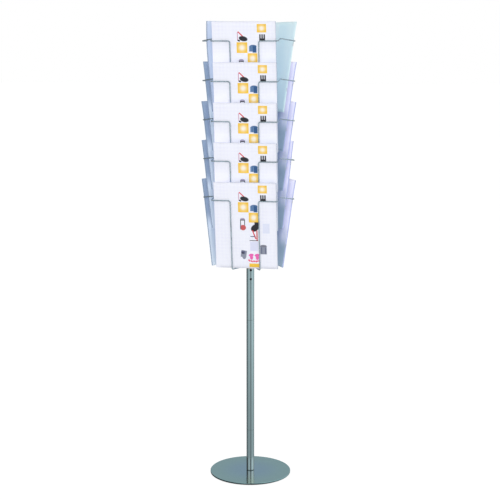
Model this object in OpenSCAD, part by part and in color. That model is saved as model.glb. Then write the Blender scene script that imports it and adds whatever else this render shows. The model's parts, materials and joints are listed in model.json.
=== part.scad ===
// Revolving floor-standing brochure rack: a wire frame with three faces and five tiers of A4
// pockets turns on a spindle at the top of a fixed pole. The pole is in three sections and is
// bolted to a round base plate.
// The origin is on the floor, on the pole's axis. +Z is up and the first face looks along -Y.

/* [Tiers] */
// Height from one tier's floor wires to the next
tier_pitch = 130; // [125:1:160]
// Height of the lowest tier's floor wires above the floor
lowest_tier_z = 737; // [660:1:900]
// Lean of the pockets: their tops lie further out than their floors
pocket_tilt = 8.3; // [7.8:0.1:12]

/* [Pockets] */
// Thickness of the frame wire
wire_d = 4; // [3:0.5:5]
// Distance from the pole's axis to the front wires, at the pocket's floor
floor_reach = 82; // [78:1:95]
// Height of the pocket's front rail above its floor
rail_rise = 236; // [150:1:260]
// Distance between the two side wires of a pocket
pocket_w = 221; // [218:1:230]
// Bend radius of the wire at the pocket's upper corners
corner_bend = 7; // [5:1:10]
// Bend radius of the wire where a floor wire turns up
toe_bend = 5; // [4:1:7]

/* [Brochures] */
// Width of a brochure
brochure_w = 210; // [148:1:210]
// Height of a brochure
brochure_h = 297; // [210:1:297]
// Thickness of the stack of brochures in one pocket
stack_t = 4; // [2:1:12]

/* [Pole] */
// Outer diameter of the pole and of the turning tube
pole_d = 26.9; // [25:0.1:32]
// Wall thickness of both tubes
tube_wall = 1.5; // [1:0.1:2]
// Height of the turning tube
rotor_h = 570; // [540:5:640]
// Height of the pole's lower joint above the floor
lower_joint_z = 154; // [90:1:160]
// Length of the pole's middle section
middle_l = 393; // [100:1:400]

/* [Base] */
// Diameter of the base plate
base_d = 280; // [260:5:420]
// Thickness of the base plate
base_t = 5; // [4.8:0.2:10]
// Thickness of the felt pad under the base plate
pad_t = 1.5; // [1:0.5:3]

/* [Hidden] */
TIERS = [1, 2, 3, 4, 5];
FACES = ["front", "right", "left"];
CORNERS = ["right", "back", "left"];
$fn = 48;

face_turn = 120;         // angle from one face to the next
gap = 0.05;              // running and sliding clearance, on the radius
slack = 0.3;             // room between a stack and the wires that it leans on
tiny = 0.01;
bend_swell = 0.04;       // growth of the wire's diameter in a bend
bend_lap = 0.1;          // length by which straight wire runs into a bend

// Tier heights, counted from the top tier down
function tier_z(t) = lowest_tier_z + (len(TIERS) - t) * tier_pitch;

// Tubes, hubs and the pivot between them
tube_id = pole_d - 2 * tube_wall;
hub_d = 44;
hub_h = 14;
spoke_root = 14.5;       // inner end of a floor wire, inside its hub
rotor_z = lowest_tier_z - hub_h / 2;
flange_t = 1.5;
washer_t = 1;
seat_gap = 0.1;          // vertical play at each running face
pole_top = rotor_z - flange_t - washer_t - 2 * seat_gap;
foot_z = pad_t + base_t;
foot_ring_t = 2;
pole_z = foot_z + foot_ring_t + gap;
rotor_top = rotor_z + rotor_h;
end_chamfer = 0.4;       // on the outer edges of the pole sections
coupler_wall = 3;
coupler_l = 70;

// Spindle and bushes
spindle_d = 16;
spindle_end_d = 10;
shank_h = 65;
bush_h = 25;
upper_bush_drop = 50;
upper_bush_z = rotor_top - upper_bush_drop;
shoulder_z = upper_bush_z + bush_h + seat_gap;
nut_af = 16;
nut_h = 8;
spare_thread = 2;        // thread that stands out of the nut
washer_inset = 0.5;      // how much smaller the thrust washer is than the pole, on the radius
washer_room = 1.5;       // room round the upper washer inside the turning tube
cap_t = 2;
cap_plug_h = 7;

// Screws
screw_d = 8;
screw_key = 4;
screw_sink = 1;          // how far the screws end below the surface of the pole or of a hub
screw_seat = tube_id / 4;
screw_drops = [5, 36];   // depth of the two spindle screws below the top of the pole
screw_turn = 17;         // they sit a little to the right of the first face's middle
hub_screw_d = 5;
hub_screw_key = 2.5;
hub_screw_turn = 90;

// Base fastening
bolt_d = 8;
bolt_head_d = 16;
bolt_head_h = 4.2;
bolt_key = 5;
bolt_reach = 22;
plug_h = 30;
pad_inset = 4;

// Corner points of one bent wire, which makes half of two neighbouring pockets
reach_per_rise = tan(pocket_tilt);
rail_reach = floor_reach + rail_rise * reach_per_rise;
half_w = pocket_w / 2;
upright_x = floor_reach * tan(30);
notch_reach = half_w / sqrt(3);
notch_rise = rail_rise + (rail_reach - notch_reach) * reach_per_rise;
half_pocket = [
    spoke_root * [sin(30), -cos(30), 0],
    [upright_x, -floor_reach, 0],
    [upright_x, -rail_reach, rail_rise],
    [half_w, -rail_reach, rail_rise]
];
notch = [half_w, -notch_reach, notch_rise];
function mirrored(p) = [-p.x, p.y, p.z];
function turned(p, a) = [p.x * cos(a) - p.y * sin(a), p.x * sin(a) + p.y * cos(a), p.z];
wire_points = concat(
    half_pocket,
    [notch],
    [for (i = [len(half_pocket) - 1:-1:0]) turned(mirrored(half_pocket[i]), face_turn)]
);
wire_bends = [toe_bend, corner_bend, corner_bend, corner_bend, corner_bend, corner_bend, toe_bend];

// Height of a stack above its pocket's floor wires, so that it clears the bends at its toe
toe_inside = toe_bend - wire_d / 2;
stack_lift = toe_bend - sqrt(pow(toe_inside, 2) - pow(toe_inside - slack, 2)) + slack;

function unit(v) = v / norm(v);

// ---------- shared shapes ----------

// A ring or tube that stands on z = 0
module ring(od, id, h) {
    difference() {
        cylinder(d = od, h = h);
        translate([0, 0, -tiny]) cylinder(d = id, h = h + 2 * tiny);
    }
}

// A socket set screw along +X, with its flat end at x = from and its key end at x = to
module set_screw(d, key, from, to) {
    translate([from, 0, 0]) rotate([0, 90, 0]) difference() {
        cylinder(d = d, h = to - from);
        translate([0, 0, (to - from) / 2]) cylinder(d = key / cos(30), h = to - from, $fn = 6);
    }
}

// A bend from heading +Z towards +X. The wire swells a little where it is bent.
module elbow(radius, angle) {
    translate([radius, 0, 0]) rotate([90, 0, 180]) mirror([0, 0, 1])
        rotate_extrude(angle = angle) translate([radius, 0]) circle(d = wire_d + bend_swell);
}

// Feed a length of wire, roll, bend, and go on from the end of the bend
module feed_and_bend(feeds, rolls, angles, radii, i = 0) {
    before = i == 0 ? 0 : bend_lap;
    after = i == len(angles) ? 0 : bend_lap;
    translate([0, 0, -before]) cylinder(d = wire_d, h = before + feeds[i] + after);
    if (i < len(angles))
        translate([0, 0, feeds[i]]) rotate([0, 0, rolls[i]]) {
            elbow(radii[i], angles[i]);
            translate([radii[i] * (1 - cos(angles[i])), 0, radii[i] * sin(angles[i])])
                rotate([0, angles[i], 0])
                    feed_and_bend(feeds, rolls, angles, radii, i + 1);
        }
}

// A wire bent at each inner point of a path, as a wire-forming machine would make it
module bent_wire(points, radii) {
    bends = len(points) - 2;
    headings = [for (i = [0:bends]) unit(points[i + 1] - points[i])];
    angles = [for (i = [0:bends - 1]) acos(headings[i] * headings[i + 1])];
    normals = [for (i = [0:bends - 1]) unit(cross(headings[i], headings[i + 1]))];
    setbacks = concat(0, [for (i = [0:bends - 1]) radii[i] * tan(angles[i] / 2)], 0);
    feeds = [for (i = [0:bends]) norm(points[i + 1] - points[i]) - setbacks[i] - setbacks[i + 1]];
    rolls = [for (i = [0:bends - 1]) i == 0 ? 0 :
        atan2(cross(normals[i - 1], normals[i]) * headings[i], normals[i - 1] * normals[i])];
    side = cross(normals[0], headings[0]);
    start = [for (k = [0:2]) [side[k], normals[0][k], headings[0][k], points[0][k]]];
    multmatrix(start) feed_and_bend(feeds, rolls, angles, radii);
}

// ---------- fixed stand ----------

// A felt disc, stuck on over the head of the base bolt
module base_pad() {
    color("dimgray") cylinder(d = base_d - 2 * pad_inset, h = pad_t - gap);
}

module base_plate() {
    edge = 0.5;
    color("silver") translate([0, 0, pad_t]) difference() {
        rotate_extrude($fn = 96) polygon([
            [0, 0], [base_d / 2, 0], [base_d / 2, base_t - edge], [base_d / 2 - edge, base_t], [0, base_t]
        ]);
        translate([0, 0, -tiny]) cylinder(d = bolt_d + 2 * gap, h = base_t + 2 * tiny);
        translate([0, 0, -tiny])
            cylinder(d1 = bolt_head_d + 2 * gap, d2 = bolt_d + 2 * gap, h = bolt_head_h + tiny);
    }
}

module base_bolt() {
    color("dimgray") translate([0, 0, pad_t]) difference() {
        union() {
            cylinder(d1 = bolt_head_d, d2 = bolt_d, h = bolt_head_h);
            cylinder(d = bolt_d, h = base_t + bolt_reach);
        }
        translate([0, 0, -tiny]) cylinder(d = bolt_key / cos(30), h = bolt_head_h / 2, $fn = 6);
    }
}

module foot_plug() {
    color("gray") translate([0, 0, foot_z + gap]) ring(tube_id - 2 * gap, bolt_d + 2 * gap, plug_h);
}

// A thin ring that keeps the pole's end off the polished plate
module foot_ring() {
    color("black") translate([0, 0, foot_z + gap]) ring(pole_d, tube_id, foot_ring_t - gap);
}

// A length of the pole's tube between two heights, its outer edges broken
module pole_section(from, to) {
    length = to - from;
    translate([0, 0, from]) rotate_extrude() polygon([
        [tube_id / 2, 0], [pole_d / 2 - end_chamfer, 0], [pole_d / 2, end_chamfer],
        [pole_d / 2, length - end_chamfer], [pole_d / 2 - end_chamfer, length], [tube_id / 2, length]
    ]);
}

module pole_lower() {
    color("silver") pole_section(pole_z, lower_joint_z - gap);
}

module pole_middle() {
    color("silver") pole_section(lower_joint_z + gap, lower_joint_z + middle_l - gap);
}

module pole_upper() {
    color("silver") difference() {
        pole_section(lower_joint_z + middle_l + gap, pole_top);
        spindle_screw_places() rotate([0, 90, 0]) cylinder(d = screw_d + 2 * gap, h = pole_d);
    }
}

// Sleeves inside the pole's two joints
module pole_couplers() {
    color("gray") for (z = [lower_joint_z, lower_joint_z + middle_l])
        translate([0, 0, z - coupler_l / 2]) ring(tube_id - 2 * gap, tube_id - 2 * coupler_wall, coupler_l);
}

module spindle_screw_places() {
    for (drop = screw_drops)
        translate([0, 0, pole_top - drop]) rotate([0, 0, screw_turn - 90]) children();
}

module spindle() {
    color("gray") difference() {
        union() {
            translate([0, 0, pole_top - shank_h]) cylinder(d = tube_id - 2 * gap, h = shank_h);
            translate([0, 0, pole_top - tiny]) cylinder(d = spindle_d, h = shoulder_z - pole_top + tiny);
            translate([0, 0, shoulder_z - tiny])
                cylinder(d = spindle_end_d, h = flange_t + nut_h + spare_thread + tiny);
        }
        spindle_screw_places() rotate([0, 90, 0]) translate([0, 0, screw_seat])
            cylinder(d = screw_d + 2 * gap, h = pole_d);
    }
}

module spindle_screws() {
    color("black") spindle_screw_places()
        set_screw(screw_d, screw_key, screw_seat + gap, pole_d / 2 - screw_sink);
}

module thrust_washer() {
    color("goldenrod") translate([0, 0, pole_top + gap])
        ring(pole_d - 2 * washer_inset, spindle_d + 2 * gap, washer_t);
}

module spindle_washer() {
    color("silver") translate([0, 0, shoulder_z + gap])
        ring(tube_id - 2 * washer_room, spindle_end_d + 2 * gap, flange_t);
}

module spindle_nut() {
    color("silver") translate([0, 0, shoulder_z + flange_t + 2 * gap]) difference() {
        cylinder(d = nut_af / cos(30), h = nut_h, $fn = 6);
        translate([0, 0, -tiny]) cylinder(d = spindle_end_d + 2 * gap, h = nut_h + 2 * tiny);
    }
}

// ---------- turning frame ----------

module rotor_tube() {
    color("silver") translate([0, 0, rotor_z]) ring(pole_d, tube_id, rotor_h);
}

module lower_bush() {
    color("white") difference() {
        union() {
            translate([0, 0, rotor_z - gap - flange_t]) cylinder(d = pole_d, h = flange_t);
            translate([0, 0, rotor_z - gap - tiny]) cylinder(d = tube_id - 2 * gap, h = bush_h);
        }
        translate([0, 0, rotor_z - 2 * flange_t]) cylinder(d = spindle_d + 2 * gap, h = 2 * bush_h);
    }
}

module upper_bush() {
    color("white") translate([0, 0, upper_bush_z])
        ring(tube_id - 2 * gap, spindle_d + 2 * gap, bush_h);
}

module top_cap() {
    edge = 0.8;
    color("dimgray") translate([0, 0, rotor_top]) {
        rotate_extrude() polygon([
            [0, gap], [pole_d / 2, gap], [pole_d / 2, cap_t - edge], [pole_d / 2 - edge, cap_t], [0, cap_t]
        ]);
        translate([0, 0, -cap_plug_h]) cylinder(d = tube_id - 2 * gap, h = cap_plug_h + 2 * gap);
    }
}

// A collar with six holes for the ends of the floor wires and one for its set screw
module tier_hub(t) {
    edge = 1;
    color("silver") translate([0, 0, tier_z(t)]) difference() {
        rotate_extrude() polygon([
            [pole_d / 2 + gap, -hub_h / 2],
            [hub_d / 2 - edge, -hub_h / 2], [hub_d / 2, -hub_h / 2 + edge],
            [hub_d / 2, hub_h / 2 - edge], [hub_d / 2 - edge, hub_h / 2],
            [pole_d / 2 + gap, hub_h / 2]
        ]);
        for (a = [0:60:300]) rotate([0, 90, a]) cylinder(d = wire_d + 2 * gap, h = hub_d);
        rotate([0, 90, hub_screw_turn]) cylinder(d = hub_screw_d + 2 * gap, h = hub_d);
    }
}

module hub_screws() {
    color("black") for (t = TIERS) translate([0, 0, tier_z(t)]) rotate([0, 0, hub_screw_turn])
        set_screw(hub_screw_d, hub_screw_key, pole_d / 2 + gap, hub_d / 2 - screw_sink);
}

// One bent wire between two faces: it forms half of the pocket on each side of the corner
module tier_wire(t, c) {
    color("lightslategray") translate([0, 0, tier_z(t)]) rotate([0, 0, face_turn * c])
        bent_wire(wire_points, wire_bends);
}

// ---------- brochures ----------

module brochures(t, f) {
    color(["aliceblue", "lavender", "lightsteelblue"][f])
        translate([0, 0, tier_z(t)]) rotate([0, 0, face_turn * f])
            translate([0, -floor_reach, 0]) rotate([pocket_tilt, 0, 0])
                translate([-brochure_w / 2, wire_d / 2 + slack, stack_lift])
                    cube([brochure_w, stack_t, brochure_h]);
}

base_pad();
base_plate();
base_bolt();
foot_plug();
foot_ring();
pole_lower();
pole_middle();
pole_upper();
pole_couplers();
spindle();
spindle_screws();
thrust_washer();
spindle_washer();
spindle_nut();
rotor_tube();
lower_bush();
upper_bush();
top_cap();
hub_screws();
for (t = TIERS) {
    tier_hub(t);
    for (c = [0:2])
        tier_wire(t, c);
    for (f = [0:2])
        brochures(t, f);
}
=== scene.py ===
"""Looks of a revolving brochure rack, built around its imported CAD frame.

The stand, the bent wires and the fittings are the CAD nodes with procedural materials. Each block of
brochures is replaced by a pile of separate saddle-stitched booklets. Lengths are in metres.
"""
import json
import math
import random

import bpy
from mathutils import Matrix, Vector


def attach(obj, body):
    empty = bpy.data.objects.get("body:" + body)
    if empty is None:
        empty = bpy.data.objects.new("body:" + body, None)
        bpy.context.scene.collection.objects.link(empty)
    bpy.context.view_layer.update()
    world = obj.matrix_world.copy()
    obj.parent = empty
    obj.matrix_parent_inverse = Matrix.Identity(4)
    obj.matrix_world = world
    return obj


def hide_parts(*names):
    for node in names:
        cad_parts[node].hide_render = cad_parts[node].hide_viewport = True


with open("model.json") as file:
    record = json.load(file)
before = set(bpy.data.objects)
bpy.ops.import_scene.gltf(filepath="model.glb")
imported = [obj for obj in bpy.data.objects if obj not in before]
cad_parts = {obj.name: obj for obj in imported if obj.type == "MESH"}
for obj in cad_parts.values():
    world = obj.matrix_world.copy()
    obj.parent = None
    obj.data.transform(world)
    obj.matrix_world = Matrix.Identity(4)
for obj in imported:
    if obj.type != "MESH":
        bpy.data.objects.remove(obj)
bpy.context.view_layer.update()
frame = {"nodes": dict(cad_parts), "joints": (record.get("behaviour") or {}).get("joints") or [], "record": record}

MM = 0.001
SEED = 7

SHARP_ANGLE = math.radians(30)  # CAD faces that meet at more than this keep a crisp edge

# One pile of booklets
BOOKLETS = 3
BOOKLET_GAP = 0.06 * MM
LEAF_SLIDE = 0.4 * MM          # how far a booklet may sit to one side
LEAF_RISE = 0.5 * MM           # how far it may stand above its neighbours
LEAF_TWIST = math.radians(0.12)
FLARE_START = 0.80             # share of the height above which the paper is free of the rails
CURL_START = 0.6               # share of the height above which a limp pile curls back
FLARE = 2.2 * MM               # how far its free top corners lean out
FLARE_SPREAD = (0.4, 1.0)      # least and most share of the flare that one corner takes
MIDDLE_FLARE = 0.35            # share of the flare in the middle between the corners
RIPPLE = 0.08 * MM
RIPPLE_TURNS = (5.0, 2.5)      # radians of ripple across and up the sheet
COLUMNS = 12
ROWS = 24
SPINE_STEPS = 4
FORE_EDGE_POINT = 0.35 * MM    # the middle leaves of a folded booklet stand out at its fore edge
STAPLE_LENGTH = 12 * MM
STAPLE_RADIUS = 0.28 * MM
STAPLE_PLACES = (0.25, 0.75)
STAPLE_SIDES = 6
STAPLE_RINGS = ((-0.5, 0.45), (-0.47, 1.0), (0.47, 1.0), (0.5, 0.45))  # shares of its length and radius
PAPER_SLOTS = {"front": 0, "back": 1, "edge": 2, "staple": 3, "fore": 4}

# Piles that don't stand in the middle of their pockets: how far each lies to the right as seen from its
# own face, how many degrees more upright it stands than its pocket, and how far its top curls back
STANCES = {
    "stack_1_front": (-1.0, 0.0, 0.0),
    "stack_1_left": (-2.5, 2.0, 10.0),
    "stack_1_right": (0.5, 0.0, 0.0),
    "stack_2_front": (2.0, 0.0, 0.0),
    "stack_2_left": (-2.5, 0.9, 0.0),
    "stack_3_front": (2.6, 0.0, 0.0),
    "stack_3_left": (2.2, 0.0, 0.0),
    "stack_4_front": (2.6, 0.0, 0.0),
    "stack_4_left": (2.4, 0.0, 0.0),
    "stack_4_right": (2.4, 1.3, 2.0),
    "stack_5_front": (2.6, 0.0, 0.0),
    "stack_5_left": (2.6, 0.0, 0.0),
}

# Camera: a long lens at the height of the top tier, a little to the rack's right, that looks down
CAMERA_TURN = math.radians(10.0)
CAMERA_PITCH = math.radians(9.7)
CAMERA_DISTANCE = 4.077
CAMERA_HEIGHT = 1.487
CAMERA_LENS = 87.25
SENSOR = 36.0
CAMERA_SHIFT = -0.0007         # the pole stands a little to the right of the picture's middle

# Studio
ROOM_GLOW = 0.82               # brightness of the room on papers and plastics
ROOM_TINT = (0.95, 0.975, 1.0)
ROOM_LEVEL = 0.34              # brightness of the room in metals, outside its bands
ROOM_LEAST = 0.28              # the least of it above the horizon, in metal that the camera sees directly
ROOM_LIFT = 1.25               # how much brighter it is in metal that is seen in other metal
# Bands of the room that metals mirror: centre and half width in degrees, change of brightness
ROOM_BANDS = (
    (-115, 62, -0.34),
    (-36, 46, 0.36),
    (4, 17, -0.28),
    (62, 20, 0.12),
    (68, 60, 0.46),
    (122, 46, 0.2),
)
FLOOR_GLOW = 0.82              # lifts the floor to the backdrop's white, where only the camera sees it
FLOOR_SIZE = 80.0
FLOOR_REACH = (0.2, 2.5)       # distances between which the floor brightens in metals
FLOOR_NEAR = 0.55              # share of its brightness at the nearer of them
FLOOR_WHITE = (0.85, 0.86, 0.88)
FLOOR_GREY = (0.25, 0.25, 0.25)
FLOOR_DARK = (0.02, 0.02, 0.02)
SHADOW_CENTRE = (-0.03, -0.01, 0.0)
SHADOW_REACH = (0.15, 0.2)     # distances from there over which the stand's shadow on the floor ends
SHADOW_DEPTH = (0.05, 0.07)    # the shadow shows only in metal that is closer to it than this
BACKDROP_WHITE = (1.0, 1.0, 1.0)
LIGHT_TARGET = (0, 0, 0.9)
# Lights: name, place, width and height, power
LIGHTS = (("key", (0.4, -4.2, 2.2), (3.2, 2.2), 40), ("top", (0, -0.6, 3.8), (2.4, 2.4), 6))


# ---------------------------------------------------------------- shader graphs

class Graph:
    """A node tree, with short calls for the nodes that the shaders below share."""

    def __init__(self, tree):
        self.tree = tree
        self.tree.nodes.clear()

    def add(self, kind, **settings):
        node = self.tree.nodes.new(kind)
        for key, value in settings.items():
            setattr(node, key, value)
        return node

    def put(self, socket, value):
        """Links value to socket if it is another socket, or else sets it."""
        if isinstance(value, bpy.types.NodeSocket):
            self.tree.links.new(value, socket)
        elif isinstance(value, (tuple, list)) and len(value) == 3 and socket.type == "RGBA":
            socket.default_value = (*value, 1.0)
        else:
            socket.default_value = value

    def math(self, operation, a, b=0.0, clamp=False):
        node = self.add("ShaderNodeMath", operation=operation, use_clamp=clamp)
        self.put(node.inputs[0], a)
        self.put(node.inputs[1], b)
        return node.outputs[0]

    def remap(self, value, low, high, out_low=0.0, out_high=1.0):
        node = self.add("ShaderNodeMapRange", interpolation_type="SMOOTHSTEP")
        for socket, given in zip(node.inputs, (value, low, high, out_low, out_high)):
            self.put(socket, given)
        return node.outputs[0]

    def mix(self, factor, a, b):
        """Blends two colours."""
        node = self.add("ShaderNodeMix", data_type="RGBA")
        self.put(node.inputs[0], factor)
        self.put(node.inputs[6], a)
        self.put(node.inputs[7], b)
        return node.outputs[2]

    def between(self, factor, a, b):
        """Blends two numbers."""
        node = self.add("ShaderNodeMix", data_type="FLOAT")
        for socket, given in zip((node.inputs[0], node.inputs[2], node.inputs[3]), (factor, a, b)):
            self.put(socket, given)
        return node.outputs[0]

    def split(self, vector):
        node = self.add("ShaderNodeSeparateXYZ")
        self.put(node.inputs[0], vector)
        return node.outputs[0], node.outputs[1], node.outputs[2]

    def place(self, kind="Object"):
        return self.add("ShaderNodeTexCoord").outputs[kind]

    def sheet(self):
        """The place on a sheet: shares of its width from the left and of its height from the bottom."""
        return self.add("ShaderNodeUVMap", uv_map="sheet").outputs[0]

    def distance(self, vector, centre=(0.0, 0.0, 0.0)):
        node = self.add("ShaderNodeVectorMath", operation="DISTANCE")
        self.put(node.inputs[0], vector)
        node.inputs[1].default_value = centre
        return node.outputs["Value"]

    def scaled(self, vector, factors):
        node = self.add("ShaderNodeMapping", vector_type="POINT")
        self.put(node.inputs["Vector"], vector)
        node.inputs["Scale"].default_value = factors
        return node.outputs[0]

    def noise(self, vector, scale, detail=3.0, roughness=0.5):
        node = self.add("ShaderNodeTexNoise")
        self.put(node.inputs["Vector"], vector)
        self.put(node.inputs["Scale"], scale)
        self.put(node.inputs["Detail"], detail)
        self.put(node.inputs["Roughness"], roughness)
        return node.outputs[0]


class Finish(Graph):
    """A material with one principled surface."""

    def __init__(self, name):
        self.material = bpy.data.materials.new(name)
        self.material.use_nodes = True
        super().__init__(self.material.node_tree)
        self.surface = self.add("ShaderNodeBsdfPrincipled")
        self.put(self.add("ShaderNodeOutputMaterial").inputs["Surface"], self.surface.outputs["BSDF"])

    def set(self, **inputs):
        """Sets inputs of the surface: base_color=..., roughness=... and so on."""
        for key, value in inputs.items():
            self.put(self.surface.inputs[key.replace("_", " ").title().replace("Ior", "IOR")], value)

    def bump(self, height, distance):
        node = self.add("ShaderNodeBump")
        self.put(node.inputs["Height"], height)
        self.put(node.inputs["Distance"], distance)
        self.put(self.surface.inputs["Normal"], node.outputs[0])


# ---------------------------------------------------------------- metals

HEART_REACH = (0.03, 0.13)     # distances from the axis over which a heart's tint, a painted reflection, gives way
OXIDE_BLACK = (0.004, 0.004, 0.005)
OXIDE_WORN = (0.10, 0.10, 0.11)


def brushed_steel(name, grain, tint, roughness, relief, rim=1.0, heart=None, echo=None):
    """Stainless steel with fine brush lines.

    grain is the scale along each axis: small along the lines. rim is its brightness where it turns away.
    heart, if given, is the tint near its axis, a painted reflection, and echo the tint it has in the mirror of
    other metal, a painted reflection as well.
    """
    g = Finish(name)
    place = g.place()
    lines = g.noise(g.scaled(place, grain), 1.0, detail=4.0, roughness=0.6)
    smudge = g.noise(place, 9.0, detail=4.0)
    colour = g.mix(g.remap(lines, 0.3, 0.7), tuple(0.9 * c for c in tint), tint)
    colour = g.mix(g.remap(smudge, 0.45, 0.75, 0.0, 0.15), colour, tuple(0.85 * c for c in tint))
    if heart:
        # Painted reflection: a separate tint near the axis, for the colour the metal mirrors there
        colour = g.mix(g.remap(g.distance(place), *HEART_REACH), heart, colour)
    if echo:
        # Painted reflection: a separate tint where other metal mirrors this one
        colour = g.mix(g.add("ShaderNodeLightPath").outputs["Is Glossy Ray"], colour, echo)
    dull = g.remap(smudge, 0.35, 0.7, roughness, 1.4 * roughness)
    rough = g.math("ADD", g.remap(lines, 0.25, 0.75, -0.02, 0.03), dull)
    g.set(base_color=colour, metallic=1.0, roughness=rough, specular_tint=(rim, rim, rim))
    g.bump(lines, relief)
    return g.material


def bright_metal(name, tint, roughness, grime=0.25):
    """Plated or turned metal with faint scratches, duller in patches."""
    g = Finish(name)
    place = g.place()
    patches = g.noise(place, 60.0, detail=5.0)
    scratches = g.noise(g.scaled(place, (900.0, 900.0, 160.0)), 1.0, detail=2.0)
    dull = tuple(c * (1 - grime) for c in tint)
    colour = g.mix(g.remap(patches, 0.45, 0.7), tint, dull)
    patchy = g.remap(patches, 0.3, 0.7, roughness, roughness * 1.7)
    rough = g.math("ADD", patchy, g.remap(scratches, 0.6, 0.8, 0.0, 0.08))
    g.set(base_color=colour, metallic=1.0, roughness=rough)
    g.bump(scratches, 0.01 * MM)
    return g.material


def black_oxide(name):
    """Blackened steel that shines through on its edges."""
    g = Finish(name)
    grains = g.noise(g.place(), 900.0, detail=3.0)
    worn = g.remap(g.add("ShaderNodeNewGeometry").outputs["Pointiness"], 0.505, 0.56)
    wear = g.math("MULTIPLY", worn, g.remap(grains, 0.35, 0.6))
    g.set(
        base_color=g.mix(wear, OXIDE_BLACK, OXIDE_WORN),
        metallic=g.remap(wear, 0.0, 1.0, 0.2, 1.0),
        roughness=g.remap(grains, 0.3, 0.7, 0.45, 0.6),
        specular_ior_level=0.25,
    )
    g.bump(grains, 0.02 * MM)
    return g.material


# ---------------------------------------------------------------- plastics and felt

def moulded_plastic(name, colour, roughness):
    """Plastic with a fine moulded grain and light scuffs."""
    g = Finish(name)
    place = g.place()
    grain = g.noise(place, 1400.0, detail=2.0)
    scuffs = g.noise(g.scaled(place, (40.0, 40.0, 200.0)), 1.0, detail=5.0)
    scuffed = tuple(min(1.0, 1.25 * c + 0.02) for c in colour)
    grainy = g.remap(grain, 0.3, 0.7, roughness, roughness + 0.12)
    g.set(
        base_color=g.mix(g.remap(scuffs, 0.55, 0.75), colour, scuffed),
        roughness=g.math("ADD", grainy, g.remap(scuffs, 0.5, 0.8, 0.0, 0.1)),
    )
    g.bump(grain, 0.03 * MM)
    return g.material


def pressed_felt(name, colour):
    """Matted fibres with flecks of lighter ones."""
    g = Finish(name)
    place = g.place()
    fibres = g.noise(g.scaled(place, (1.0, 3.0, 1.0)), 700.0, detail=6.0, roughness=0.7)
    flecks = g.noise(place, 2200.0, detail=1.0)
    base = g.mix(g.remap(fibres, 0.35, 0.65), tuple(0.6 * c for c in colour), colour)
    g.set(
        base_color=g.mix(g.remap(flecks, 0.68, 0.74), base, tuple(3.0 * c for c in colour)),
        roughness=0.95,
        sheen_weight=0.4,
    )
    g.bump(fibres, 0.3 * MM)
    return g.material


# ---------------------------------------------------------------- booklets

COVER_W = 210.0
COVER_H = 297.0
WHITE = (0.91, 0.905, 0.965)
LAVENDER = (0.76, 0.75, 0.92)
ORANGE = (0.93, 0.57, 0.05)
INK = (0.018, 0.02, 0.028)
NAVY = (0.03, 0.10, 0.25)
SKY = (0.15, 0.26, 0.45)
RED = (0.72, 0.035, 0.045)
SILVER = (0.27, 0.29, 0.36)
PINK = (0.86, 0.13, 0.45)
ROSE = (0.84, 0.12, 0.22)
SLATE = (0.12, 0.13, 0.22)
AMBER = (0.98, 0.70, 0.28)
CREAM = (0.98, 0.90, 0.76)
WINE = (0.50, 0.10, 0.22)
LID_BLUE = (0.07, 0.16, 0.32)
PLUM = (0.40, 0.36, 0.48)
BRICK = (0.60, 0.10, 0.10)
RUST = (0.66, 0.12, 0.11)
MIST = (0.74, 0.75, 0.90)
HAZE = (0.77, 0.79, 0.92)
COAL = (0.20, 0.20, 0.25)
PLAID_PITCH = 11.7
PLAID_LINE = (0.15, 0.35)      # shares of the pitch between which a line of the plaid fades in
PLAID_STRENGTH = (0.06, 0.30)
# Shares of the back cover's width, from its fore edge, over which it turns from one tint to the next
BACK_FADES = ((0.10, 0.15), (0.26, 0.40), (0.56, 0.86))
BACK_RISE = (0.42, 0.64)       # shares of its height over which the strip at the fore edge darkens
GLOW_RISE = (0.57, 0.75)       # heights between which a front cover's low glow gives way
BACK_FOOT = (0.2, 0.36)        # shares of its height over which the foot's tint gives way
SPINE_FOLD = (0.9955, 0.9975)  # share of the width beyond which the cover folds round the spine
# Tints of the back covers, as back_cover takes them. The teal and pale sets of the top tier are painted light:
# lighter copies of the lavender back, because no tier above shades the top tier
BACK_LAVENDER = {
    "tints": ((0.26, 0.35, 0.46), (0.82, 0.88, 0.96), (0.24, 0.33, 0.50), (0.92, 0.90, 1.0)),
    "low_fore": (0.78, 0.86, 0.91),
    "foot": (0.36, 0.48, 0.54),
    "fold": (0.52, 0.55, 0.77),
    "glow_tint": (0.50, 0.62, 0.95),
}
LIT_BACK_TEAL = {
    "tints": ((0.75, 0.89, 0.91), (0.75, 0.89, 0.91), (0.68, 0.86, 0.89), (0.74, 0.89, 0.90)),
    "low_fore": (0.75, 0.89, 0.91),
    "foot": (0.68, 0.86, 0.89),
    "fold": (0.74, 0.89, 0.90),
    "glow_tint": (0.55, 0.68, 0.70),
}
LIT_BACK_PALE = {
    "tints": ((0.62, 0.69, 0.82), (0.66, 0.73, 0.85), (0.66, 0.74, 0.87), (0.70, 0.77, 0.90)),
    "low_fore": (0.62, 0.69, 0.82),
    "foot": (0.66, 0.74, 0.87),
    "fold": (0.70, 0.77, 0.90),
    "glow_tint": (0.50, 0.62, 0.95),
}
# Darker and lighter tint of the leaves' cut edges: painted shade, grey-lavender instead of the paper's white
SHADED_PAGE_EDGES = ((0.40, 0.45, 0.58), (0.60, 0.64, 0.77))
# Painted shade: the fore edges are darker still, slate instead of white
SHADED_FORE_EDGES = ((0.22, 0.30, 0.42), (0.34, 0.42, 0.55))
STAPLE_TINT = (0.7, 0.7, 0.7)
# Facing papers pass light back and forth, more than the renderer follows
FRONT_GLOW = 0.03
LOW_GLOW = 0.15                # low on the front covers that have another pile in front of them
BACK_GLOW = 0.13

HALO, HEART = 0.76, 0.42       # sizes of the paler ovals in a glowing square, as shares of its own
# Squares of the cover's chequered band: left, top, width, height in millimetres from the cover's top left
GLOW_SQUARES = ((148.7, 8.5, 30.5, 27), (80.8, 67, 35.5, 34.5), (116.3, 102.3, 32.5, 34))


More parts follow.
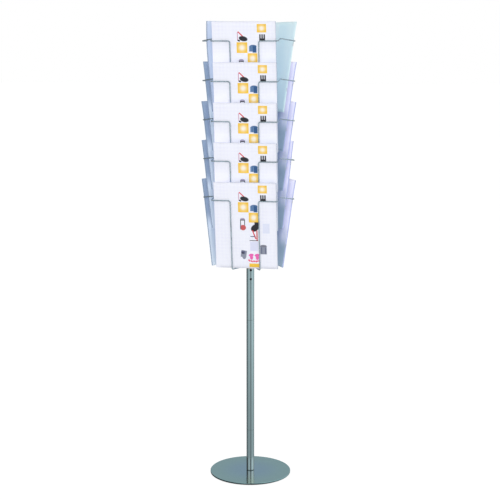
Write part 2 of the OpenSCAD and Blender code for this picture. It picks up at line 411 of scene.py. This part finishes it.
class Print:
    """Shapes printed over a base colour, in millimetres from a sheet's top left corner."""

    def __init__(self, graph, paper):
        self.g = graph
        u, v, _ = graph.split(graph.sheet())
        self.x = graph.math("MULTIPLY", u, COVER_W)
        self.y = graph.math("MULTIPLY", graph.math("SUBTRACT", 1.0, v), COVER_H)
        self.colour = paper

    def ink(self, mask, colour):
        self.colour = self.g.mix(mask, self.colour, colour)

    def local(self, cx, cy, turn=0.0):
        """Coordinates about a centre, turned by an angle in degrees."""
        g = self.g
        dx, dy = g.math("SUBTRACT", self.x, cx), g.math("SUBTRACT", self.y, cy)
        if not turn:
            return dx, dy
        c, s = math.cos(math.radians(turn)), math.sin(math.radians(turn))
        along = g.math("ADD", g.math("MULTIPLY", dx, c), g.math("MULTIPLY", dy, s))
        across = g.math("SUBTRACT", g.math("MULTIPLY", dy, c), g.math("MULTIPLY", dx, s))
        return along, across

    def bar(self, cx, cy, w, h, turn=0.0, soft=0.5):
        """Mask of a rectangle about its centre."""
        g = self.g
        dx, dy = self.local(cx, cy, turn)
        inside_x = g.remap(g.math("ABSOLUTE", dx), w / 2 - soft, w / 2 + soft, 1.0, 0.0)
        inside_y = g.remap(g.math("ABSOLUTE", dy), h / 2 - soft, h / 2 + soft, 1.0, 0.0)
        return g.math("MULTIPLY", inside_x, inside_y)

    def oval(self, cx, cy, w, h, turn=0.0, soft=0.08):
        """Mask of an ellipse about its centre."""
        g = self.g
        dx, dy = self.local(cx, cy, turn)
        nx, ny = g.math("DIVIDE", dx, w / 2), g.math("DIVIDE", dy, h / 2)
        reach = g.math("SQRT", g.math("ADD", g.math("MULTIPLY", nx, nx), g.math("MULTIPLY", ny, ny)))
        return g.remap(reach, 1 - soft, 1 + soft, 1.0, 0.0)

    def glow_square(self, left, top, w, h):
        """An orange square that fades to white in its middle."""
        cx, cy = left + w / 2, top + h / 2
        self.ink(self.bar(cx, cy, w, h), ORANGE)
        self.ink(self.oval(cx, cy, HALO * w, HALO * h, soft=0.4), AMBER)
        self.ink(self.oval(cx, cy, HEART * w, HEART * h, soft=0.6), CREAM)


def paper_base(g):
    """Faint plaid of lavender stripes on white paper."""
    uv = g.sheet()
    u, v, _ = g.split(uv)
    stripes = []
    for share, size in ((u, COVER_W), (v, COVER_H)):
        phase = g.math("FRACT", g.math("MULTIPLY", share, size / PLAID_PITCH))
        stripes.append(g.remap(g.math("ABSOLUTE", g.math("SUBTRACT", phase, 0.5)), *PLAID_LINE))
    plaid = g.math("MULTIPLY", g.math("ADD", stripes[0], stripes[1]), 0.5)
    cloud = g.noise(uv, 3.0, detail=2.0)
    return g.mix(g.math("MULTIPLY", plaid, g.remap(cloud, 0.3, 0.7, *PLAID_STRENGTH)), WHITE, LAVENDER)


def coated(g, colour, glow_tint, glow):
    """Finishes a sheet as coated paper: faint fibres and a soft sheen, dulled here and there."""
    fibre = g.noise(g.place(), 1800.0, detail=3.0)
    handling = g.noise(g.place(), 25.0, detail=4.0)
    g.set(
        base_color=colour,
        roughness=g.remap(handling, 0.3, 0.7, 0.32, 0.5),
        specular_ior_level=0.4,
        emission_color=glow_tint,
        emission_strength=glow,
    )
    g.bump(fibre, 0.01 * MM)


# The pictures on the front cover. Places and sizes are in millimetres from its top left corner.

def print_bottles(sheet):
    sheet.ink(sheet.bar(165.5, 59.5, 19, 10), INK)
    for i in range(3):
        sheet.ink(sheet.bar(158.5 + 7 * i, 53, 4.8, 23), INK)


def print_desk_lamp(sheet):
    sheet.ink(sheet.bar(95, 41.5, 3.6, 25, turn=-46), RED)
    sheet.ink(sheet.bar(84.5, 47, 1.8, 26), WINE)
    sheet.ink(sheet.oval(103, 55.5, 29, 16, turn=12, soft=0.12), INK)
    sheet.ink(sheet.bar(88.5, 61.5, 8, 5, turn=20), INK)


def print_gift_box(sheet):
    """A box with a domed lid, seen on its corner."""
    sheet.ink(sheet.oval(135, 80, 23, 10), LID_BLUE)
    sheet.ink(sheet.bar(128, 88, 13, 18, soft=1.2), SKY)
    sheet.ink(sheet.bar(139.5, 90, 13, 21, soft=1.2), NAVY)
    sheet.ink(sheet.bar(128, 88, 2.6, 17), NAVY)


def print_beaker(sheet):
    sheet.ink(sheet.oval(95, 126, 17, 10), PLUM)
    sheet.ink(sheet.bar(95, 137, 16, 20), INK)
    sheet.ink(sheet.bar(95, 138.5, 11, 17), WHITE)
    sheet.ink(sheet.oval(96, 154.5, 20, 19), BRICK)
    sheet.ink(sheet.bar(87.5, 153, 2.8, 16), SLATE)


def print_stool(sheet):
    sheet.ink(sheet.oval(136, 155, 30, 22, turn=-40), INK)
    sheet.ink(sheet.bar(142, 146, 14, 22), INK)
    sheet.ink(sheet.bar(133, 178, 4.0, 32, turn=-20), RED)
    sheet.ink(sheet.bar(142.5, 181.5, 4.4, 36), RUST)
    sheet.ink(sheet.bar(128, 185, 16, 3.2), SLATE)
    sheet.ink(sheet.bar(131.5, 199, 29, 2.4), INK)


def print_panels(sheet):
    sheet.ink(sheet.bar(132, 219, 27, 32), MIST)
    sheet.ink(sheet.bar(174, 156, 23, 34), HAZE)


def print_armchair(sheet):
    sheet.ink(sheet.bar(96, 246, 19, 24, turn=8, soft=1.0), SILVER)
    sheet.ink(sheet.oval(97, 257, 12, 16), SILVER)
    sheet.ink(sheet.oval(94, 241, 15, 12, turn=20), SLATE)
    sheet.ink(sheet.oval(93, 243, 7, 5), INK)


def print_drum(sheet):
    sheet.ink(sheet.bar(163.5, 231, 22, 30, soft=1.0), SILVER)
    sheet.ink(sheet.oval(163.5, 217, 22, 8), COAL)
    for i in range(2):
        sheet.ink(sheet.bar(157 + 13 * i, 233, 2.8, 22), SLATE)


def print_flowers(sheet):
    """Two flowers over a garland that sags in its middle."""
    for cx in (121, 141):
        sheet.ink(sheet.oval(cx, 250, 17, 10, turn=-12), PINK)
        sheet.ink(sheet.oval(cx + 1, 258, 11, 17), PINK)
    for i, sag in enumerate((0, 2.5, 2.5, 2.5, 0)):
        sheet.ink(sheet.bar(114 + 8.5 * i, 269 + sag, 8, 5.5, turn=25 * (2 - i)), ROSE)


def printed_cover(name, low_glow):
    """The front cover: a chequered band of glowing squares and plain pictograms of shop goods.

    low_glow is the light that it gets back, low down, from the pile in front of it.
    """
    g = Finish(name)
    sheet = Print(g, paper_base(g))
    for square in GLOW_SQUARES:
        sheet.glow_square(*square)
    print_bottles(sheet)
    print_desk_lamp(sheet)
    print_gift_box(sheet)
    print_beaker(sheet)
    print_stool(sheet)
    print_panels(sheet)
    print_armchair(sheet)
    print_drum(sheet)
    print_flowers(sheet)
    sheet.ink(sheet.bar(133, 286, 38, 13), ORANGE)
    _, height, _ = g.split(g.sheet())
    coated(g, sheet.colour, sheet.colour, g.remap(height, *GLOW_RISE, low_glow, FRONT_GLOW))
    return g.material


def back_cover(name, tints, low_fore, foot, fold, glow_tint):
    """The back cover: four soft upright fields of colour, from its fore edge to its spine.

    low_fore is the tint of the first field's lower half, foot that at the bottom of the last two fields
    and fold that of the spine.
    """
    g = Finish(name)
    uv = g.sheet()
    u, v, _ = g.split(uv)
    clouds = g.noise(g.scaled(uv, (5.0, 1.6, 1.0)), 1.0, detail=3.0)
    wander = g.math("ADD", u, g.remap(clouds, 0.3, 0.7, -0.03, 0.03))
    colour = g.mix(g.remap(v, *BACK_RISE), low_fore, tints[0])
    for (start, end), tint in zip(BACK_FADES, tints[1:]):
        colour = g.mix(g.remap(wander, start, end), colour, tint)
    low = g.math("MULTIPLY", g.remap(v, *BACK_FOOT, 1.0, 0.0), g.remap(wander, *BACK_FADES[1]))
    colour = g.mix(low, colour, foot)
    coated(g, g.mix(g.remap(u, *SPINE_FOLD), colour, fold), glow_tint, BACK_GLOW)
    return g.material


def shaded_page_edges(name, dark, light):
    """Cut edges of the leaves, as fine lines, in tints darkened as painted shade."""
    g = Finish(name)
    uv = g.sheet()
    leaf = g.noise(g.scaled(uv, (26.0, 1.5, 1.0)), 1.0, detail=3.0, roughness=0.7)
    g.set(base_color=g.mix(g.remap(leaf, 0.3, 0.7), dark, light), roughness=0.8)
    g.bump(leaf, 0.05 * MM)
    return g.material


def stack_frame(body, node):
    """Corner, axes and size of a CAD stack: x across its face, y inwards, z up the leaning pocket."""
    slide = next(j for j in frame["joints"] if j["child"] == body)
    up = Vector(slide["axis"]).normalized()
    outward = Vector((up.x, up.y, 0)).normalized()
    across = Vector((0, 0, 1)).cross(outward).normalized()
    inward = up.cross(across)
    axes = Matrix((across, inward, up)).transposed()
    local = [axes.transposed() @ v.co for v in frame["nodes"][node].data.vertices]
    low = Vector(min(p[k] for p in local) for k in range(3))
    high = Vector(max(p[k] for p in local) for k in range(3))
    return Matrix.Translation(axes @ low) @ axes.to_4x4(), high - low


def booklet_section(width, thick):
    """Outline of a booklet seen from above, as (x, y, part): front, fore edge, back and spine."""
    outline = []
    round_r = thick / 2
    for i in range(COLUMNS + 1):
        outline.append((round_r + (width - round_r) * i / COLUMNS, 0.0, "front"))
    outline.append((width + FORE_EDGE_POINT, thick / 2, "fore"))
    for i in range(COLUMNS, -1, -1):
        outline.append((round_r + (width - round_r) * i / COLUMNS, thick, "back"))
    for i in range(1, SPINE_STEPS):
        a = math.pi * i / SPINE_STEPS
        outline.append((round_r - round_r * math.sin(a), round_r + round_r * math.cos(a), "back"))
    return outline


def add_booklet(mesh_data, width, height, thick, offset, bend):
    """Adds one closed booklet. offset places it in its pile, and bend(x, z) bows the whole pile alike."""
    points, faces, parts, uvs = mesh_data
    outline = booklet_section(width, thick)
    ring = len(outline)
    first = len(points)
    for row in range(ROWS + 1):
        z = height * row / ROWS
        for x, y, _ in outline:
            placed = offset @ Vector((x, y, z))
            points.append(placed + Vector((0, bend(placed.x, placed.z), 0)))

    def face(corners, part, flat):
        faces.append([first + c for c in corners])
        parts.append(part)
        uvs.append(flat)

    for row in range(ROWS):
        low, high = row / ROWS, (row + 1) / ROWS
        for i in range(ring):
            j = (i + 1) % ring
            kind = "fore" if "fore" in (outline[i][2], outline[j][2]) else outline[i][2]
            if kind == "fore":
                ui, uj = outline[i][1] / thick, outline[j][1] / thick
            else:
                ui, uj = outline[i][0] / width, outline[j][0] / width
            if kind == "back":
                ui, uj = 1 - ui, 1 - uj
            corners = [row * ring + i, row * ring + j, (row + 1) * ring + j, (row + 1) * ring + i]
            face(corners, kind, [(ui, low), (uj, low), (uj, high), (ui, high)])
    # Top and bottom: strips between facing points of front and back, then the fore edge and the spine
    last_front, last_back = COLUMNS, 2 * COLUMNS + 2
    for row, flip in ((0, False), (ROWS, True)):
        base = row * ring
        strips = [[i, i + 1, last_back - i - 1, last_back - i] for i in range(last_front)]
        strips.append([last_front, last_front + 1, last_front + 2])
        strips.append([0] + [last_back + k for k in range(SPINE_STEPS)][::-1])
        for strip in strips:
            ends = [(outline[i][1] / thick, outline[i][0] / width) for i in strip]
            order = list(zip([base + i for i in strip], ends))
            if not flip:
                order.reverse()
            face([o[0] for o in order], "edge", [o[1] for o in order])


def add_staple(mesh_data, centre, offset, bend):
    """Adds the outer leg of a staple: a short six-sided bar with rounded ends, along z."""
    points, faces, parts, uvs = mesh_data
    first = len(points)
    for z, r in STAPLE_RINGS:
        radius = STAPLE_RADIUS * r
        for k in range(STAPLE_SIDES):
            a = math.tau * k / STAPLE_SIDES
            local = centre + Vector((radius * math.cos(a), radius * math.sin(a), STAPLE_LENGTH * z))
            placed = offset @ local
            points.append(placed + Vector((0, bend(placed.x, placed.z), 0)))
    ends = [first, first + STAPLE_SIDES * (len(STAPLE_RINGS) - 1)]
    added = []
    for ring in range(ends[0], ends[1], STAPLE_SIDES):
        for k in range(STAPLE_SIDES):
            a, b = ring + k, ring + (k + 1) % STAPLE_SIDES
            added.append([a, b, b + STAPLE_SIDES, a + STAPLE_SIDES])
    added.append([ends[0] + k for k in range(STAPLE_SIDES)][::-1])
    added.append([ends[1] + k for k in range(STAPLE_SIDES)])
    faces.extend(added)
    parts.extend(["staple"] * len(added))
    uvs.extend([(0.5, 0.5)] * len(f) for f in added)


def pile_bend(size, upright, curl, rng):
    """Function of a place on a pile's face that says how far it bows back there.

    A pile flares at its free top corners, ripples a little, and may lean back or curl.
    """
    lean_left, lean_right = rng.uniform(*FLARE_SPREAD), rng.uniform(*FLARE_SPREAD)
    ripple = rng.uniform(0, math.tau)

    def bend(x, z):
        free = max(0.0, z / size.z - FLARE_START) / (1 - FLARE_START)
        across = min(1.0, max(0.0, x / size.x))
        lean = lean_left * (1 - across) + lean_right * across
        edge = MIDDLE_FLARE + (1 - MIDDLE_FLARE) * abs(2 * across - 1) ** 2
        wave = RIPPLE * math.sin(ripple + RIPPLE_TURNS[0] * across + RIPPLE_TURNS[1] * z / size.z)
        limp = max(0.0, z / size.z - CURL_START) / (1 - CURL_START)
        back = z * math.tan(math.radians(upright)) + curl * MM * limp ** 2
        return back - FLARE * lean * edge * free * free + wave

    return bend


def pile_mesh(name, to_row, mesh_data, materials):
    points, faces, parts, uvs = mesh_data
    mesh = bpy.data.meshes.new(name)
    mesh.from_pydata([to_row @ p for p in points], [], faces)
    for material in materials:
        mesh.materials.append(material)
    layer = mesh.uv_layers.new(name="sheet")
    for polygon, part, flat in zip(mesh.polygons, parts, uvs):
        polygon.material_index = PAPER_SLOTS[part]
        polygon.use_smooth = part not in ("edge", "fore")
        for loop, uv in zip(polygon.loop_indices, flat):
            layer.data[loop].uv = uv
    mesh.validate()
    return mesh


def build_stack(body, node, materials, rng):
    """A pile of booklets in the place of one CAD stack."""
    to_row, size = stack_frame(body, node)
    shift, upright, curl = STANCES.get(body, (0.0, 0.0, 0.0))
    step = size.y / BOOKLETS
    thick = step - BOOKLET_GAP
    width, height = size.x - 2 * LEAF_SLIDE, size.z - LEAF_RISE
    bend = pile_bend(size, upright, curl, rng)
    data = ([], [], [], [])
    for i in range(BOOKLETS):
        slide = LEAF_SLIDE + rng.uniform(-LEAF_SLIDE, LEAF_SLIDE) + shift * MM
        rise = rng.uniform(0, LEAF_RISE)
        twist = Matrix.Rotation(rng.uniform(-LEAF_TWIST, LEAF_TWIST), 4, "Y")
        offset = Matrix.Translation((slide, BOOKLET_GAP / 2 + i * step, rise)) @ twist
        add_booklet(data, width, height, thick, offset, bend)
        for share in STAPLE_PLACES:
            add_staple(data, Vector((0.0, thick / 2, height * share)), offset, bend)
    pile = bpy.data.objects.new(node + "_pile", pile_mesh(node + "_pile", to_row, data, materials))
    bpy.context.scene.collection.objects.link(pile)
    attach(pile, body)
    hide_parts(node)


def build_brochures():
    rng = random.Random(SEED)
    cover = printed_cover("cover_print", LOW_GLOW)
    lowest_cover = printed_cover("lowest_cover_print", FRONT_GLOW)
    edges = shaded_page_edges("shaded_page_edges", *SHADED_PAGE_EDGES)
    shaded_fore_edges = shaded_page_edges("shaded_fore_edges", *SHADED_FORE_EDGES)
    staple = bright_metal("staple_wire", STAPLE_TINT, 0.25)
    plain = back_cover("back_lavender", **BACK_LAVENDER)
    # Painted light: the top tier's side piles get lighter copies of the back cover, for the light that reaches
    # them from above
    backs = {
        "stack_1_right": back_cover("lit_back_teal", **LIT_BACK_TEAL),
        "stack_1_left": back_cover("lit_back_pale", **LIT_BACK_PALE),
    }
    for body, members in frame["record"]["behaviour"]["bodies"].items():
        if body.startswith("stack_"):
            front = lowest_cover if body.startswith("stack_5") else cover
            build_stack(body, members[0], (front, backs.get(body, plain), edges, staple, shaded_fore_edges), rng)


# ---------------------------------------------------------------- the CAD nodes' materials

# Scales of the brush lines along each axis: small along the lines
UPRIGHT_GRAIN = (1500.0, 1500.0, 12.0)
PLATE_GRAIN = (8.0, 1100.0, 8.0)
TURNED_GRAIN = (60.0, 60.0, 1500.0)
TUBE_TINT = (0.37, 0.50, 0.515)
# Painted reflection: the tube's tint where other metal mirrors it
TUBE_ECHO = (0.58, 0.52, 0.44)
PLATE_TINT = (0.57, 0.92, 0.96)
# Painted reflection: the plate is bluer near its axis, and white where other metal mirrors it
PLATE_REFLECTED_HEART = (0.50, 0.80, 1.0)
PLATE_ECHO = (1.0, 1.0, 1.0)
# Partly painted shade: the foot ring is tinted dark for the contact shadow where the pole meets the plate, and
# partly for the seam there
RING_SHADE_TINT = (0.16, 0.20, 0.19)
HUB_TINT = (0.55, 0.66, 0.68)
WIRE_TINT = (0.47, 0.57, 0.62)
ZINC_TINT = (0.6, 0.6, 0.57)
BRASS_TINT = (0.72, 0.52, 0.22)
NYLON_WHITE = (0.80, 0.79, 0.74)
PLASTIC_BLACK = (0.03, 0.03, 0.032)
FELT_GREY = (0.05, 0.05, 0.055)


def brushed_tube():
    finish = {"rim": 0.55, "echo": TUBE_ECHO}
    return brushed_steel("brushed_tube", UPRIGHT_GRAIN, TUBE_TINT, 0.11, 0.004 * MM, **finish)


def brushed_plate():
    finish = {"heart": PLATE_REFLECTED_HEART, "echo": PLATE_ECHO}
    return brushed_steel("brushed_plate", PLATE_GRAIN, PLATE_TINT, 0.11, 0.003 * MM, **finish)


def finish_cad_nodes():
    """Gives every CAD node the material of its slot, or one of its own."""
    by_slot = {
        "brushed_steel": brushed_tube(),
        "wire": bright_metal("satin_chrome_wire", WIRE_TINT, 0.2),
        "zinc_steel": bright_metal("bright_zinc", ZINC_TINT, 0.3),
        "black_steel": black_oxide("black_oxide"),
        "brass": bright_metal("turned_brass", BRASS_TINT, 0.28),
        "nylon": moulded_plastic("natural_nylon", NYLON_WHITE, 0.4),
        "black_plastic": moulded_plastic("black_plastic", PLASTIC_BLACK, 0.42),
        "felt": pressed_felt("grey_felt", FELT_GREY),
    }
    # Partly painted shade: dark steel for the contact shadow and the seam at the pole's foot
    ring = brushed_steel("shaded_dark_ring", TURNED_GRAIN, RING_SHADE_TINT, 0.25, 0.01 * MM)
    own = {"base_plate": brushed_plate(), "foot_ring": ring}
    hub = brushed_steel("turned_hub", TURNED_GRAIN, HUB_TINT, 0.2, 0.01 * MM)
    for part in frame["record"]["subparts"]:
        name = part["node"]
        if name not in frame["nodes"] or part["material_slot"] not in by_slot:
            continue
        mesh = frame["nodes"][name].data
        material = own.get(name, by_slot[part["material_slot"]])
        material = hub if name.endswith("_hub") else material
        mesh.materials.clear()
        mesh.materials.append(material)
        for polygon in mesh.polygons:
            polygon.material_index = 0
            polygon.use_smooth = True
        mesh.set_sharp_from_angle(angle=SHARP_ANGLE)


# ---------------------------------------------------------------- studio

def area_light(name, place, size, power):
    """A soft rectangle of light, which metals don't mirror."""
    lamp = bpy.data.lights.new(name, "AREA")
    lamp.shape, lamp.size, lamp.size_y = "RECTANGLE", size[0], size[1]
    lamp.energy = power
    obj = bpy.data.objects.new(name, lamp)
    obj.location = place
    obj.rotation_euler = (Vector(LIGHT_TARGET) - Vector(place)).to_track_quat("-Z", "Y").to_euler()
    obj.visible_glossy = False
    bpy.context.scene.collection.objects.link(obj)


def room_seen_by_metal(g, direction):
    """Brightness of the room in each direction round the rack: a few soft upright bands.

    The angle is 0 towards the camera and grows to the camera's right.
    """
    x, y, _ = g.split(direction)
    c, s = math.cos(CAMERA_TURN), math.sin(CAMERA_TURN)
    sideways = g.math("ADD", g.math("MULTIPLY", x, c), g.math("MULTIPLY", y, s))
    forward = g.math("SUBTRACT", g.math("MULTIPLY", x, s), g.math("MULTIPLY", y, c))
    angle = g.math("ARCTAN2", sideways, forward)
    level = ROOM_LEVEL
    for centre, half_width, change in ROOM_BANDS:
        away = g.math("ABSOLUTE", g.math("SUBTRACT", angle, math.radians(centre)))
        band = g.remap(away, 0.0, math.radians(half_width), change, 0.0)
        level = g.math("ADD", level, band)
    return level


def studio_world():
    """White to the camera, an even glow to papers and a banded room to metals."""
    world = bpy.data.worlds.new("studio")
    bpy.context.scene.world = world
    world.use_nodes = True
    g = Graph(world.node_tree)
    ray = g.add("ShaderNodeLightPath").outputs
    least = g.remap(ray["Glossy Depth"], 1.0, 2.0, ROOM_LEAST, 0.0)
    lift = g.remap(ray["Glossy Depth"], 1.0, 2.0, 1.0, ROOM_LIFT)
    bands = g.math("MAXIMUM", room_seen_by_metal(g, g.place("Generated")), least)
    mirrored = g.math("MULTIPLY", bands, lift)
    glow = g.between(ray["Is Glossy Ray"], ROOM_GLOW, mirrored)
    background = g.add("ShaderNodeBackground")
    g.put(background.inputs["Color"], g.mix(ray["Is Camera Ray"], ROOM_TINT, BACKDROP_WHITE))
    g.put(background.inputs["Strength"], g.between(ray["Is Camera Ray"], glow, 1.0))
    g.put(g.add("ShaderNodeOutputWorld").inputs["Surface"], background.outputs[0])


def floor_paint():
    """White to the camera, running into the backdrop. Metals see it darker, above all near the stand."""
    g = Finish("pale_floor")
    ray = g.add("ShaderNodeLightPath").outputs
    place = g.place()
    far_mirror = g.remap(ray["Ray Length"], *SHADOW_DEPTH)
    shade = g.math("MAXIMUM", g.remap(g.distance(place, SHADOW_CENTRE), *SHADOW_REACH), far_mirror)
    nearness = g.math("MULTIPLY", g.remap(g.distance(place), *FLOOR_REACH, FLOOR_NEAR, 1.0), shade)
    mirrored = g.math("MULTIPLY", room_seen_by_metal(g, place), nearness)
    glow = g.between(ray["Is Glossy Ray"], g.math("MULTIPLY", ray["Is Camera Ray"], FLOOR_GLOW), mirrored)
    seen = g.math("ADD", ray["Is Camera Ray"], ray["Is Glossy Ray"], clamp=True)
    shaded = g.math("MULTIPLY", ray["Is Glossy Ray"], g.math("SUBTRACT", 1.0, shade))
    grey = g.mix(shaded, FLOOR_GREY, FLOOR_DARK)
    g.set(
        base_color=g.mix(seen, FLOOR_WHITE, grey),
        roughness=0.8,
        emission_color=g.mix(ray["Is Camera Ray"], ROOM_TINT, BACKDROP_WHITE),
        emission_strength=glow,
    )
    return g.material


def build_floor():
    half = FLOOR_SIZE / 2
    corners = [(-half, -half, 0), (half, -half, 0), (half, half, 0), (-half, half, 0)]
    mesh = bpy.data.meshes.new("floor")
    mesh.from_pydata(corners, [], [(0, 1, 2, 3)])
    mesh.materials.append(floor_paint())
    floor = bpy.data.objects.new("floor", mesh)
    bpy.context.scene.collection.objects.link(floor)


def build_camera():
    camera = bpy.data.cameras.new("camera")
    camera.lens, camera.sensor_width, camera.shift_x = CAMERA_LENS, SENSOR, CAMERA_SHIFT
    obj = bpy.data.objects.new("camera", camera)
    obj.location = (
        math.sin(CAMERA_TURN) * CAMERA_DISTANCE,
        -math.cos(CAMERA_TURN) * CAMERA_DISTANCE,
        CAMERA_HEIGHT,
    )
    obj.rotation_euler = (math.pi / 2 - CAMERA_PITCH, 0, CAMERA_TURN)
    bpy.context.scene.collection.objects.link(obj)
    bpy.context.scene.camera = obj


def build_studio():
    bpy.context.scene.view_settings.view_transform = "Standard"
    studio_world()
    build_floor()
    for name, place, size, power in LIGHTS:
        area_light(name, place, size, power)
    build_camera()


finish_cad_nodes()
build_brochures()
build_studio()
